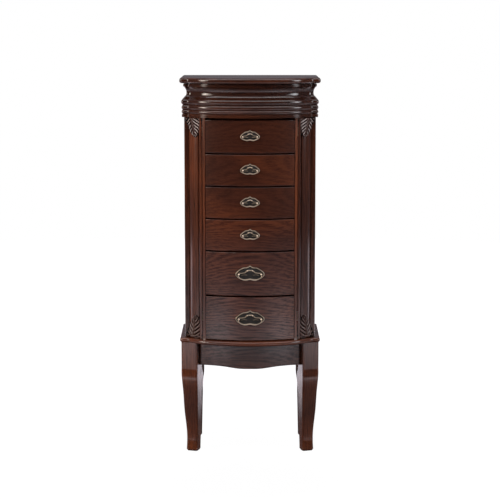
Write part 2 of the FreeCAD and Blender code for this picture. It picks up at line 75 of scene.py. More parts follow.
class Finish:
    # a material under construction
    def __init__(self, name):
        self.material = bpy.data.materials.new(name)
        self.material.use_nodes = True
        self.tree = self.material.node_tree
        self.tree.nodes.clear()
        self.output = self.tree.nodes.new("ShaderNodeOutputMaterial")

    def node(self, kind, settings=None, sockets=None, out=0):
        made = self.tree.nodes.new(kind)
        for key, value in (settings or {}).items():
            setattr(made, key, value)
        for key, value in (sockets or {}).items():
            if isinstance(value, Value):
                self.tree.links.new(value.socket, made.inputs[key])
            else:
                made.inputs[key].default_value = value
        return Value(self, made.outputs[out])

    def mix(self, factor, a, b):
        sockets = {0: factor}
        for index, colour in ((6, a), (7, b)):
            sockets[index] = colour if isinstance(colour, Value) else (*colour, 1.0)
        return self.node("ShaderNodeMix", {"data_type": "RGBA"}, sockets, out=2)

    def place(self):
        return self.node("ShaderNodeTexCoord", out="Object")

    def split(self, vector):
        return [self.node("ShaderNodeSeparateXYZ", sockets={0: vector}, out=i) for i in range(3)]

    def join(self, x, y, z):
        return self.node("ShaderNodeCombineXYZ", sockets={0: x, 1: y, 2: z})

    def noise(self, vector, scale, detail=3.0, roughness=0.5):
        return self.node("ShaderNodeTexNoise", sockets={
            "Vector": vector, "Scale": scale, "Detail": detail, "Roughness": roughness})

    def ramp(self, value, low, high):
        # straight rise from 0 at low to 1 at high
        return self.node("ShaderNodeMapRange", {"clamp": True}, {0: value, 1: low, 2: high})

    def bump(self, height, strength, distance, normal=None):
        sockets = {"Strength": strength, "Distance": distance, "Height": height}
        if normal is not None:
            sockets["Normal"] = normal
        return self.node("ShaderNodeBump", sockets=sockets)

    def surface(self, **sockets):
        names = {key.replace("_", " "): value for key, value in sockets.items()}
        shader = self.node("ShaderNodeBsdfPrincipled", sockets=names)
        self.tree.links.new(shader.socket, self.output.inputs["Surface"])
        return self.material


woodLook = {
    "pore": (0.004, 0.0014, 0.0009),
    "dark": (0.019, 0.0052, 0.0026),
    "middle": (0.060, 0.0165, 0.0075),
    "red": (0.135, 0.034, 0.0105),
    "edge": (0.17, 0.064, 0.034),
    "ringPitch": 0.0062,
    "ringStretch": 0.16,    # how fast the rings close along the grain
    "roundEdge": 0.0011,
}


def wood(name, along, shift, figure, centre, tone=0.0, red=0.75, shade=None):
    # grain runs along the first letter, the face lies along the first two; centre is that of the growth rings
    make = Finish(name)
    x, y, z = make.split(make.place())
    grain, across, depth = {"XZ": (x, z, y), "XY": (x, y, z), "YZ": (y, z, x), "ZX": (z, x, y),
                            "ZY": (z, y, x)}[along]
    drift = make.noise(make.join(grain * 2.2 + shift, across * 9.0, depth * 5.0 + shift), 1.0, 3.0, 0.55)
    bend = make.noise(make.join(grain * 6.0 + shift * 1.7, across * 16.0, depth * 8.0), 1.0, 2.0)
    ringX = (grain - centre[0]) * woodLook["ringStretch"]
    ringY = across - centre[1] + (drift - 0.5) * 0.07 + (bend - 0.5) * 0.018
    reach = (ringX * ringX + ringY * ringY + depth * depth * 0.35) ** 0.5
    wave = (reach * (2 * math.pi / woodLook["ringPitch"])).math("SINE") * 0.5 + 0.5
    # long dashes that break the rings up, and the finer fibre and pores
    dashes = make.join(grain * 14.0 + shift, across * 430.0 + drift * 20.0, depth * 200.0)
    streak = make.noise(dashes, 1.0, 3.0, 0.6)
    early = make.ramp(wave * 0.20 + streak * 1.30, 0.64, 0.90)
    fibre = make.noise(make.join(grain * 14.0 + shift, across * 520.0, depth * 380.0), 1.0, 3.0, 0.6)
    speck = make.noise(make.join(grain * 42.0 + shift * 3.1, across * 1500.0, depth * 900.0), 1.0, 1.0)
    pores = make.ramp(speck, 0.55, 0.68) * (early * 0.75 + 0.25)
    cloud = make.noise(make.join(grain * 3.0 - shift, across * 7.0, depth * 6.0), 1.0, 2.0)
    body = make.ramp(fibre * 0.4 + streak * 0.2 + drift * 0.4 + tone, 0.30, 0.70)
    colour = make.mix(body, woodLook["dark"], woodLook["middle"])
    colour = make.mix(make.ramp(cloud + tone, 0.40, 0.72) * red, colour, woodLook["red"])
    colour = make.mix(early * figure, colour, woodLook["pore"])
    colour = make.mix(pores * 0.8, colour, woodLook["pore"])
    if shade:
        # painted shade: darker between two heights, fading over the given length
        low, high, fade, shadeDepth = shade
        between = make.ramp(z, low, low + fade) * make.ramp(z, high, high - fade)
        colour = make.mix(between * shadeDepth, colour, woodLook["dark"])
    rounded = make.node("ShaderNodeBevel", {"samples": 4}, {"Radius": woodLook["roundEdge"]})
    flat = make.node("ShaderNodeNewGeometry", out="Normal")
    turn = make.node("ShaderNodeVectorMath", {"operation": "DOT_PRODUCT"}, {0: rounded, 1: flat}, out="Value")
    wearAndPaintedLight = make.ramp(turn, 0.985, 0.80) * make.ramp(cloud, 0.3, 0.6)
    colour = make.mix(wearAndPaintedLight * 0.5, colour, woodLook["edge"])
    relief = fibre * 0.3 - pores * 0.9 - early * figure * 0.8
    return make.surface(
        Base_Color=colour,
        Roughness=make.ramp(fibre + pores * 0.4, 0.2, 1.1) * 0.22 + 0.34,
        Specular_IOR_Level=0.04,
        Coat_Weight=1.0 - pores * 0.4 - early * figure * 0.5,
        Coat_Roughness=0.11,
        Normal=make.bump(relief, 0.35, 0.0004, rounded),
    )


print("materials started")
# from the top drawer down
drawerLooks = [
    {"figure": 0.3, "tone": -0.03, "red": 0.35, "centre": (-0.01, 0.93)},
    {"figure": 0.35, "tone": -0.01, "red": 0.65, "centre": (0.0, 0.80)},
    {"figure": 0.35, "tone": 0.01, "red": 0.9, "centre": (0.01, 0.72)},
    {"figure": 0.5, "tone": 0.0, "red": 0.5, "centre": (-0.01, 0.66)},
    {"figure": 0.66, "tone": 0.02, "red": 0.4, "centre": (0.0, 0.555)},
    {"figure": 0.74, "tone": 0.03, "red": 0.8, "centre": (0.01, 0.455)},
]
drawerWood = [wood("drawer_wood_%d" % (i + 1), "XZ", shift=3.7 * i, **look)
              for i, look in enumerate(drawerLooks)]
# the posts' copy, on the stiles, rear posts and left pilaster, is lighter and redder: painted light from the
# left; the right pilaster's duller copy is painted shade
postWoodPaintedLight = wood("post_wood", "ZX", shift=11.0, figure=0.35, centre=(0.6, 0.30), red=1.0, tone=0.07)
rightPostWoodPaintedShade = wood("right_post_wood", "ZX", shift=13.0, figure=0.45, centre=(0.6, -0.30), red=0.25)
sideWood = wood("side_wood", "ZY", shift=17.0, figure=0.5, centre=(0.75, 0.02), red=0.5)
# painted shade darkens the legs low down, where less light reaches them
legWood = wood("leg_wood", "ZX", shift=23.0, tone=0.08, figure=0.35, centre=(0.1, 0.34), red=0.7,
               shade=(0.02, 0.20, 0.08, 0.6))
railWood = wood("rail_wood", "XZ", shift=31.0, tone=-0.08, figure=0.5, centre=(0.0, 1.06), red=0.25)
apronWood = wood("apron_wood", "XZ", shift=37.0, tone=-0.03, figure=0.66, centre=(0.03, 0.33), red=0.4)
topWood = wood("top_wood", "XY", shift=41.0, tone=-0.04, figure=0.45, centre=(0.1, 0.03), red=0.3)
# the plinth's lighter tone is partly painted highlight, for the highlight along its nose
plinthWood = wood("plinth_wood", "XZ", shift=47.0, tone=0.04, figure=0.3, centre=(0.0, 0.5))
innerWood = wood("inner_wood", "YZ", shift=53.0, tone=0.02, figure=0.4, centre=(0.0, 0.4))
backWood = wood("back_wood", "ZX", shift=59.0, tone=-0.02, figure=0.5, centre=(0.6, 0.25))


def dress(material, *names):
    # gives CAD nodes their material
    for name in names:
        data = nodes[name].data
        data.materials.clear()
        data.materials.append(material)


for index, material in enumerate(drawerWood):
    dress(material, "drawer_%d_front" % (index + 1))
    dress(innerWood, "drawer_%d_box" % (index + 1))
dress(plinthWood, "plinth")
dress(legWood, "front_right_leg", "front_left_leg", "rear_right_leg", "rear_left_leg")
dress(apronWood, "front_apron", "rear_apron")
dress(innerWood, "side_aprons", "drawer_runners", "case_top", "case_partitions", "lid_mirror_frame",
      "ring_rolls")
dress(railWood, "cornice_front", "cornice_back")
dress(wood("cornice_side_wood", "YZ", shift=61.0, figure=0.4, centre=(0.0, 1.1)), "cornice_sides")
# left pilaster lighter, right pilaster duller: painted light and painted shade
dress(postWoodPaintedLight, "case_stiles", "rear_posts", "left_door_pilaster", "left_door_ornaments")
dress(rightPostWoodPaintedShade, "right_door_pilaster", "right_door_ornaments")
dress(sideWood, "right_door_panel", "left_door_panel")
dress(backWood, "back_panel")
dress(topWood, "lid_board")


def newPiece(name, verts, faces, material, wearAndPaintedLight=None):
    # smooth piece of its own mesh; the per-vertex value says how rubbed each vertex is, and on the carved
    # leaves how much painted highlight and painted shade it gets
    mesh = bpy.data.meshes.new(name)
    mesh.from_pydata(verts, [], faces)
    if wearAndPaintedLight is not None:
        mesh.attributes.new("wearAndPaintedLight", "FLOAT", "POINT").data.foreach_set("value", wearAndPaintedLight)
    bm = bmesh.new()
    bm.from_mesh(mesh)
    bmesh.ops.recalc_face_normals(bm, faces=bm.faces)
    for face in bm.faces:
        face.smooth = True
    bm.to_mesh(mesh)
    bm.free()
    mesh.materials.append(material)
    piece = bpy.data.objects.new(name, mesh)
    bpy.context.scene.collection.objects.link(piece)
    return piece


def smoothLoop(points, steps, closed=True):
    # rounded line through the points, evenly stepped between each two
    count = len(points)
    line = []
    for i in range(count if closed else count - 1):
        around = [i + k for k in (-1, 0, 1, 2)]
        around = [k % count if closed else min(max(k, 0), count - 1) for k in around]
        a, b, c, d = (Vector(points[k]) for k in around)
        for k in range(steps):
            t = k / steps
            line.append(0.5 * (2 * b + (c - a) * t + (2 * a - 5 * b + 4 * c - d) * t ** 2
                               + (3 * b - a - 3 * c + d) * t ** 3))
    if not closed:
        line.append(Vector(points[-1]))
    return line


def tube(path, radii, sides):
    # round bar along a path, closed at both ends; returns vertices and faces
    verts = []
    faces = []
    side = None
    for i, point in enumerate(path):
        ahead = (path[min(i + 1, len(path) - 1)] - path[max(i - 1, 0)]).normalized()
        if side is None:
            side = ahead.orthogonal().normalized()
        side = (side - ahead * side.dot(ahead)).normalized()
        up = ahead.cross(side)
        for k in range(sides):
            turn = 2 * math.pi * k / sides
            verts.append(point + (side * math.cos(turn) + up * math.sin(turn)) * radii[i])
        if i:
            for k in range(sides):
                a = (i - 1) * sides + k
                b = (i - 1) * sides + (k + 1) % sides
                faces.append((a, b, b + sides, a + sides))
    faces.append(tuple(range(sides)))
    faces.append(tuple(len(verts) - sides + k for k in range(sides)))
    return verts, faces


def turned(centre, axis, profile, sides):
    # turned shape: profile is (distance along axis, radius)
    path = [centre + axis * along for along, _ in profile]
    return tube(path, [radius for _, radius in profile], sides)


def joined(parts):
    # several vertex and face lists as one
    verts = []
    faces = []
    for partVerts, partFaces in parts:
        start = len(verts)
        verts += [tuple(v) for v in partVerts]
        faces += [tuple(i + start for i in face) for face in partFaces]
    return verts, faces


def ridge(x, z, line, width):
    # 1 on the line, falling to 0 at width from it
    best = width
    for (ax, az), (bx, bz) in zip(line, line[1:]):
        dx, dz = bx - ax, bz - az
        t = min(1.0, max(0.0, ((x - ax) * dx + (z - az) * dz) / (dx * dx + dz * dz)))
        best = min(best, math.hypot(x - ax - t * dx, z - az - t * dz))
    return 0.5 + 0.5 * math.cos(math.pi * best / width)


bowShape = {"radius": 0.283, "centreY": 0.161}    # the drawer fronts' common arc


def bowY(x, inset=0.0):
    return bowShape["centreY"] - math.sqrt((bowShape["radius"] - inset) ** 2 - x * x)


pull = {
    # right half of the outline and of the relief, in shares of half width and of rise or fall
    "outline": [(0.0, 1.0), (0.12, 0.88), (0.30, 0.79), (0.50, 0.74), (0.72, 0.53), (0.93, 0.25), (1.0, 0.02),
                (0.96, -0.30), (0.79, -0.70), (0.45, -0.97), (0.0, -0.93)],
    "arch": [(0.0, 0.43), (0.13, 0.45), (0.25, 0.36), (0.32, 0.19), (0.50, 0.13), (0.76, 0.10)],
    "band": [(0.22, -0.16), (0.40, -0.10), (0.60, -0.18)],
    "recess": 0.0004,
    "rimHeight": 0.0030,
    "rimWidth": 0.0027,
    "archHeight": 0.0027,
    "archWidth": 0.0026,
    "bandWidth": 0.0024,
    "beadRadius": 0.0017,
    "beadHeight": 0.0012,
    "beadSpacing": 0.085,
    "reedHeight": 0.0009,
    "reeds": 34,
    "rings": 34,
    "steps": 9,
    # reach of the bail's axis from the wood, and post and bar sizes
    "reach": 0.0075,
    "knob": 0.0027,
    "waist": 0.0017,
    "postSides": 20,
    "bar": 0.0012,
    "barMiddle": 0.0014,
    "barSwell": 0.0005,
    "barBow": 0.0008,
    "barSides": 14,
    # right half of the bail, in shares of the post's place and of the drop
    "bail": [(1.0, 0.0), (1.03, -0.16), (1.01, -0.42), (0.88, -0.70), (0.70, -0.86), (0.50, -0.99),
             (0.30, -0.98), (0.14, -0.88), (0.0, -0.84)],
    "cadBar": 0.0017,    # radius of the bar of the CAD bail
}
pullSizes = {
    # hinge is the x where the bail's axis lies its reach in front of the bow, post is where the posts stand
    "small": {"half": 0.0262, "rise": 0.0182, "fall": 0.0100, "hinge": 0.0190, "post": 0.0190, "drop": 0.0090,
              "bandHeight": 0.0024},
    "large": {"half": 0.039, "rise": 0.0235, "fall": 0.0155, "hinge": 0.0305, "post": 0.0300, "drop": 0.0150,
              "bandHeight": 0.0018},
}


def pullPlate(name, size, z0, material):
    half, rise, fall = size["half"], size["rise"], size["fall"]

    def scaled(points):
        return [(x * half, z * (rise if z > 0 else fall)) for x, z in points]

    right = scaled(pull["outline"])
    loop = smoothLoop(right + [(-x, z) for x, z in reversed(right[1:-1])], pull["steps"])
    arch = scaled(pull["arch"])
    arch = [tuple(p) for p in smoothLoop([(-x, z) for x, z in reversed(arch[1:])] + arch, 4, closed=False)]
    band = scaled(pull["band"])
    bands = [band, [(-x, z) for x, z in band]]
    beads = [(k * pull["beadSpacing"] * half, (0.40 if k else 0.45) * rise) for k in (-2, 0, 2)]
    fineness = half / pullSizes["large"]["half"]
    rings = pull["rings"]
    verts = []
    wearAndPaintedLight = []

    def relief(x, z, edge):
        rim = 0.5 + 0.5 * math.cos(math.pi * min(1.0, abs(edge - pull["rimWidth"] * 0.6) / pull["rimWidth"]))
        high = pull["rimHeight"] * rim
        high = max(high, pull["archHeight"] * ridge(x, z, arch, pull["archWidth"] * fineness))
        for line in bands:
            high = max(high, size["bandHeight"] * ridge(x, z, line, pull["bandWidth"] * fineness))
        for bx, bz in beads:
            spot = 1.0 - ((x - bx) ** 2 + (z - bz) ** 2) / (pull["beadRadius"] ** 2)
            if spot > 0:
                high = max(high, pull["archHeight"] + pull["beadHeight"] * math.sqrt(spot))
        if z > 0.15 * rise and high < pull["archHeight"] * 0.5:
            # reeded fan between the arch and the rim
            fan = math.atan2(z + 0.3 * rise, x)
            reed = 0.5 + 0.5 * math.cos(fan * pull["reeds"])
            high = max(high, pull["reedHeight"] * reed * min(1.0, edge / 0.004))
        return high

    top = pull["archHeight"] + pull["beadHeight"]
    verts.append((0.0, bowY(0.0) - pull["recess"] - relief(0.0, 0.0, 0.01), z0))
    wearAndPaintedLight.append(relief(0.0, 0.0, 0.01) / top)
    for ring in range(1, rings + 1):
        t = (ring / rings) ** 0.85
        for point in loop:
            x, z = point.x * t, point.y * t
            high = relief(x, z, point.length * (1 - t))
            verts.append((x, bowY(x) - pull["recess"] - high, z0 + z))
            wearAndPaintedLight.append(high / top)
    for point in loop:
        # edge down to the wood
        verts.append((point.x * 1.01, bowY(point.x) + 0.0001, z0 + point.y * 1.01))
        wearAndPaintedLight.append(0.1)
    count = len(loop)
    faces = [(0, 1 + k, 1 + (k + 1) % count) for k in range(count)]
    for ring in range(rings):
        for k in range(count):
            a = 1 + ring * count + k
            b = 1 + ring * count + (k + 1) % count
            faces.append((a, b, b + count, a + count))
    faces.append(tuple(1 + rings * count + k for k in range(count)))
    # two turned posts
    for side in (-1, 1):
        x = side * size["post"]
        start = bowY(x)
        axisY = bowY(size["hinge"]) - pull["reach"]
        reach = start - axisY
        knob, waist = pull["knob"] * (0.75 + 0.25 * fineness), pull["waist"]
        profile = [(0.0, knob * 1.25), (0.0018, knob * 1.2), (0.0026, knob * 0.9), (0.0034, waist),
                   (reach - knob * 0.8, waist)]
        profile += [(reach - knob * math.cos(t), max(0.0002, knob * math.sin(t)))
                    for t in [math.pi * k / 10 for k in range(2, 11)]]
        postVerts, postFaces = turned(Vector((x, start, z0)), Vector((0, -1, 0)), profile, pull["postSides"])
        faces += [tuple(i + len(verts) for i in face) for face in postFaces]
        for vert in postVerts:
            wearAndPaintedLight.append(min(1.0, max(0.15, (start - vert.y) / reach)))
        verts += [tuple(v) for v in postVerts]
    return newPiece(name, verts, faces, material, wearAndPaintedLight)


def pullBail(name, size, z0, material):
    # bar from post to post: two lobes with a lifted middle
    spacing, drop = size["post"], size["drop"]
    y = bowY(size["hinge"]) - pull["reach"]
    points = [Vector((x * spacing, y - pull["barBow"] * (1 - abs(x)), z0 + z * drop))
              for x, z in pull["bail"]]
    points += [Vector((-p.x, p.y, p.z)) for p in reversed(points[:-1])]
    path = smoothLoop(points, 8, closed=False)
    fineness = size["half"] / pullSizes["large"]["half"]
    sides = pull["barSides"]
    radii = []
    wearAndPaintedLight = []
    for point in path:
        share = abs(point.x) / spacing
        middle = max(0.0, 1 - share / 0.75)
        radius = pull["bar"] + (pull["barMiddle"] - pull["bar"]) * min(1.0, (1 - share) * 3 + 0.3)
        radius += pull["barSwell"] * middle ** 2
        radii.append(radius * (0.8 + 0.2 * fineness))
    verts, faces = tube(path, radii, sides)
    for i, point in enumerate(path):
        for k in range(sides):
            out = (point.y - verts[i * sides + k].y) / radii[i]
            wearAndPaintedLight.append(min(1.0, max(0.1, 0.40 + 0.42 * out)))
    return newPiece(name, [tuple(v) for v in verts], faces, material, wearAndPaintedLight)


brassLook = {"wax": (0.006, 0.0048, 0.0035), "brass": (0.26, 0.20, 0.14), "rubbedAndHighlight": (0.58, 0.47, 0.37)}


def agedBrass(name):
    # dark wax in the hollows, rubbed bright on the high places
    make = Finish(name)
    place = make.place()
    blotch = make.noise(place, 320.0, 4.0, 0.6)
    fine = make.noise(place, 1800.0, 2.0)
    wearAndPaintedLight = make.node("ShaderNodeAttribute", {"attribute_name": "wearAndPaintedLight"}, out="Fac")
    high = make.ramp(wearAndPaintedLight + (blotch - 0.5) * 0.35, 0.25, 0.62)
    colour = make.mix(high, brassLook["wax"], brassLook["brass"])
    colour = make.mix(make.ramp(wearAndPaintedLight + (fine - 0.5) * 0.3, 0.62, 1.0), colour, brassLook["rubbedAndHighlight"])
    return make.surface(
        Base_Color=colour,
        Metallic=high * 0.45 + 0.2,
        Roughness=0.62 - high * 0.26 + (fine - 0.5) * 0.16,
        Normal=make.bump(blotch + fine * 0.5, 0.3, 0.00025),
    )


brass = agedBrass("antique_brass")


def makePulls():
    for index in range(1, 7):
        size = pullSizes["small" if index < 5 else "large"]
        z0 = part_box("drawer_%d_pull_bail" % index)[1].z - pull["cadBar"]
        plate = pullPlate("pull_plate_%d" % index, size, z0, brass)
        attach(plate, "drawer_%d" % index)
        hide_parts("drawer_%d_pull_plate" % index)
        bail = pullBail("pull_bail_%d" % index, size, z0, brass)
        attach(bail, "bail_%d" % index)
        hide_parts("drawer_%d_pull_bail" % index)


makePulls()
print("pulls made")

# carved leaves on the canted pilasters
leaf = {
    "valley": (0.164, -0.058),      # where the canted stretch starts, on the right
    "cant": math.radians(42.5),
    "bend": 0.012,                  # length over which the leaf turns from the corner to the cant
    "lobes": 5.8,
    "sweep": 2.1,
    "height": 0.0056,
    "stem": 0.0030,
    "stemWidth": 0.18,              # as a share of the half width, like the next
    "plainStem": 0.20,
    "stemPaintedLight": 0.60,
    "rollAt": 0.07,                 # rolled band near the wide end, and the curl near the tip
    "rollWidth": 0.030,
    "curlAt": 0.92,
    "curlWidth": 0.035,
    "back": 0.0012,
    "sunk": 0.0004,
    "rows": 96,
    "columns": 56,
    "wide": (-0.0120, 0.0485),      # edges of the wide end along the cant
    "tip": 0.0285,
    "lengths": (0.0508, 0.0612),    # upper, lower
}
pilasterBoard = {"middle": 0.019, "reach": 0.0166, "proud": 0.0006, "crown": 0.0036}


def cantPoint(side, along, out, z):
    # place on the canted face; below zero it goes on along the flat corner beside it
    cant = leaf["cant"]
    face = cant if along > 0 else 0.0
    turn = cant * min(1.0, max(0.0, 0.5 + along / leaf["bend"]))
    x = leaf["valley"][0] - math.cos(face) * along + math.sin(turn) * out
    y = leaf["valley"][1] - math.sin(face) * along - math.cos(turn) * out
    return (side * x, y, z)


def pilasterSwell(along):
    # how far the convex board stands out at that place
    t = (along - pilasterBoard["middle"]) / pilasterBoard["reach"]
    return pilasterBoard["proud"] + pilasterBoard["crown"] * max(0.0, 1 - t * t)


def carvedLeaf(side, wideZ, tipZ, rolled):
    # v runs from the wide end to the tip and u across; rolled is 1 for a band across the wide end, 0 for none
    rows, columns = leaf["rows"], leaf["columns"]
    verts = []
    wearAndPaintedLight = []
    first, last = leaf["wide"]
    for row in range(rows + 1):
        v = row / rows
        middle = (first + last) / 2 * (1 - v) + leaf["tip"] * v
        phaseEdge = v * leaf["lobes"] - leaf["sweep"]
        scallop = abs(math.sin(math.pi * phaseEdge)) ** 0.7
        half = (last - first) / 2 * (1 - v ** 1.7) ** 0.75 * (0.94 + 0.06 * scallop) + 0.0004
        for column in range(columns + 1):
            u = 2 * column / columns - 1
            along = middle + u * half
            phase = v * leaf["lobes"] - leaf["sweep"] * abs(u) ** 0.8
            lobe = abs(math.sin(math.pi * phase)) ** 0.9
            veins = 0.5 + 0.5 * math.cos(6 * math.pi * phase)
            swell = (1 - abs(u) ** 9) * (1 - 0.35 * v) * (1 - 0.25 * math.exp(-v * 30))
            high = leaf["height"] * swell * (0.06 + 0.89 * lobe + 0.05 * veins * lobe)
            # this value sets painted highlight on the high places and painted shade in the hollows and along
            # the sunk edges
            rubbedAndHighlight = high / (leaf["height"] * (1 - 0.35 * v))
            stem = leaf["stem"] * math.exp(-(u / leaf["stemWidth"]) ** 2) * (1.35 - 0.5 * v) * swell
            high = max(high, stem + 0.0010 * swell)
            if abs(u) < leaf["plainStem"]:
                rubbedAndHighlight = leaf["stemPaintedLight"]
            roll = rolled * swell * math.exp(-((v - leaf["rollAt"]) / leaf["rollWidth"]) ** 2)
            curl = swell * math.exp(-((v - leaf["curlAt"]) / leaf["curlWidth"]) ** 2 - (u / 0.6) ** 2)
            if curl > 0.5:
                high = max(high, leaf["height"] * 0.7 * curl)
                rubbedAndHighlight = curl
            if roll > 0.5:
                high = max(high, leaf["height"] * 1.1 * roll)
                rubbedAndHighlight = 1.2 * roll - 0.15
            if column in (0, columns) or row == rows:
                high = -leaf["sunk"]
                rubbedAndHighlight = 0.0
            verts.append(cantPoint(side, along, pilasterSwell(along) + high, wideZ + (tipZ - wideZ) * v))
            wearAndPaintedLight.append(rubbedAndHighlight)
    faces = []
    across = columns + 1
    for row in range(rows):
        for column in range(columns):
            a = row * across + column
            faces.append((a, a + 1, a + across + 1, a + across))
    # sides, back and both ends
    start = len(verts)
    backX, backY = side * math.sin(leaf["cant"]) * leaf["back"], math.cos(leaf["cant"]) * leaf["back"]
    for row in range(rows + 1):
        for column in (0, columns):
            x, y, z = verts[row * across + column]
            verts.append((x - backX, y + backY, z))
            wearAndPaintedLight.append(0.0)
    for row in range(rows):
        a, b = row * across, start + 2 * row
        faces.append((a, a + across, b + 2, b))
        a, b = a + columns, b + 1
        faces.append((a, a + across, b + 2, b))
        b = start + 2 * row
        faces.append((b, b + 1, b + 3, b + 2))
    faces.append(tuple(range(across)) + (start + 1, start))
    faces.append(tuple(rows * across + k for k in range(across)) + (start + 2 * rows + 1, start + 2 * rows))
    return verts, faces, wearAndPaintedLight


# the darkest colour is painted shade for the hollows, the pale grey one painted highlight, the middle one the
# wood's own stain
carvedLook = {"hollow": (0.002, 0.0010, 0.0008), "stain": (0.055, 0.024, 0.017), "rubbedAndHighlight": (0.50, 0.45, 0.43)}


def carvedWood(name):
    # near-black painted shade in the hollows, pale painted highlight on the high places, stronger on the
    # upper leaves
    make = Finish(name)
    place = make.place()
    blotch = make.noise(place, 240.0, 4.0, 0.6)
    fine = make.noise(place, 1500.0, 2.0)
    wearAndPaintedLight = make.node("ShaderNodeAttribute", {"attribute_name": "wearAndPaintedLight"}, out="Fac")
    high = make.ramp(wearAndPaintedLight + (blotch - 0.5) * 0.3, 0.40, 0.70)
    colour = make.mix(high, carvedLook["hollow"], carvedLook["stain"])
    # painted highlight, paler on the upper leaves
    upper = make.ramp(make.split(place)[2], 0.4, 0.8) * 0.72 + 0.28
    colour = make.mix(make.ramp(wearAndPaintedLight + (fine - 0.5) * 0.9, 0.84, 1.06) * upper, colour, carvedLook["rubbedAndHighlight"])
    return make.surface(
        Base_Color=colour,
        Roughness=0.5 - high * 0.1,
        Specular_IOR_Level=0.08,
        Coat_Weight=high * 0.45,
        Coat_Roughness=0.22,
        Normal=make.bump(fine * 0.4 + blotch * 0.6, 0.25, 0.0003),
    )


def makeLeaves():
    material = carvedWood("carved_leaf_wood")
    for sideName, side in (("right", 1), ("left", -1)):
        node = sideName + "_door_ornaments"
        low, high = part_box(node)
        upper, lower = leaf["lengths"]
        verts, faces, wearAndPaintedLight = [], [], []
        for wideZ, tipZ, rolled in ((high.z, high.z - upper, 0.0), (low.z, low.z + lower, 1.0)):
            partVerts, partFaces, partPaintedLight = carvedLeaf(side, wideZ, tipZ, rolled)
            faces += [tuple(i + len(verts) for i in face) for face in partFaces]
            verts += partVerts
            wearAndPaintedLight += partPaintedLight
        piece = newPiece(sideName + "_door_leaves", verts, faces, material, wearAndPaintedLight)
        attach(piece, sideName + "_door")
        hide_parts(node)


makeLeaves()
print("carved leaves made")


def felt(name, low, high):
    # short matted fibres, a little darker where they lie flat
    make = Finish(name)
    place = make.place()
    fibre = make.noise(place, 2400.0, 3.0, 0.7)
    matted = make.noise(place, 60.0, 3.0, 0.5)
    return make.surface(
        Base_Color=make.mix(make.ramp(fibre * 0.6 + matted * 0.4, 0.35, 0.65), low, high),
        Roughness=make.ramp(fibre, 0.2, 0.9) * 0.15 + 0.82,
        Specular_IOR_Level=0.1,
        Sheen_Weight=0.35,
        Sheen_Roughness=0.5,
        Normal=make.bump(fibre * 0.6 + matted * 0.4, 0.5, 0.0005),
    )


feltDark, feltPale = (0.27, 0.20, 0.135), (0.46, 0.36, 0.26)
padFelt = felt("felt", feltDark, feltPale)
boardFelt = felt("felt_board", tuple(v * 0.9 for v in feltDark), tuple(v * 0.9 for v in feltPale))
dress(boardFelt, "tray_dividers")

# pads, and the boards of the drawer boxes and of the tray that they lie between
pad = {
    "thick": 0.0026,
    "edge": 0.0030,
    "crown": 0.0006,
    "ripple": 0.00015,
    "columns": 60,
    "rows": 44,
    "clear": 0.0007,
    "boxSide": 0.008,
    "boxFront": 0.016,
    "boxFloor": 0.005,
    "split": 0.052,      # distance of the tray's dividers from its middle
    "divider": 0.004,
}


def padMesh(left, right, front, back, z0):
    # thin pad: front(x) is its near edge, and its rim rolls down to the board
    columns, rows = pad["columns"], pad["rows"]
    top = []
    for row in range(rows + 1):
        v = 0.5 - 0.5 * math.cos(math.pi * row / rows)
        for column in range(columns + 1):
            u = 0.5 - 0.5 * math.cos(math.pi * column / columns)
            x = left + (right - left) * u
            y = front(x) + (back - front(x)) * v
            inside = min(x - left, right - x, y - front(x), back - y)
            share = min(1.0, inside / pad["edge"])
            swell = pad["thick"] * math.sqrt(max(0.0, 1 - (1 - share) ** 2))
            wave = pad["ripple"] * math.sin(x * 90.0) * math.sin(y * 75.0 + 1.0)
            swell += share * (pad["crown"] * math.sin(math.pi * u) * math.sin(math.pi * v) + wave)
            top.append((x, y, z0 + swell))
    across = columns + 1
    faces = []
    for row in range(rows):
        for column in range(columns):
            a = row * across + column
            faces.append((a, a + 1, a + across + 1, a + across))
    rim = list(range(across)) + [row * across + columns for row in range(1, rows + 1)]
    rim += [rows * across + column for column in range(columns - 1, -1, -1)]
    rim += [row * across for row in range(rows - 1, 0, -1)]
    faces.append(tuple(reversed(rim)))
    return top, faces


def lay(name, mesh, body):
    # felt pad that rides on the body
    piece = newPiece(name, *mesh, padFelt)
    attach(piece, body)


def makePads():
    clear = pad["clear"]
    for index in range(1, 7):
        low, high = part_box("drawer_%d_box" % index)
        wall = pad["boxSide"] + clear
        mesh = padMesh(wall - high.x, high.x - wall, lambda x: bowY(x, pad["boxFront"] + clear),
                       high.y - wall, low.z + pad["boxFloor"])
        lay("drawer_%d_lining" % index, mesh, "drawer_%d" % index)
    low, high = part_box("tray_dividers")
    half = high.x - clear
    inner, outer = (pad["split"] + side * (pad["divider"] / 2 + clear) for side in (-1, 1))
    for name, left, right in (("left", -half, -outer), ("middle", -inner, inner), ("right", outer, half)):
        mesh = padMesh(left, right, lambda x: low.y + pad["divider"] + clear, high.y - clear, low.z)
        lay("tray_lining_" + name, mesh, "case")


makePads()
print("pads made")

rolls = {
    "radius": 0.0089,
    "pitch": 0.019,
    "firstY": 0.013,
    "halves": (0.150, 0.150, 0.150, 0.130),    # half lengths, from the back
    "end": 0.006,
    "endSteps": 6,
    "blunt": 0.55,                             # radius of the flat end, as a share of the roll's
    "ripple": 0.00012,
    "sides": 28,
    "stretches": 64,
    "voxel": 0.0045,
    "pressure": 4.0,
    "mass": 0.15,
    "shrink": 0.02,
    "frames": 20,
    "most": 0.0015,                            # furthest that the cloth may move the surface
}


def apply(piece):
    # turns the piece's modifiers into its mesh
    graph = bpy.context.evaluated_depsgraph_get()
    made = bpy.data.meshes.new_from_object(piece.evaluated_get(graph))
    old = piece.data
    piece.modifiers.clear()
    piece.data = made
    bpy.data.meshes.remove(old)


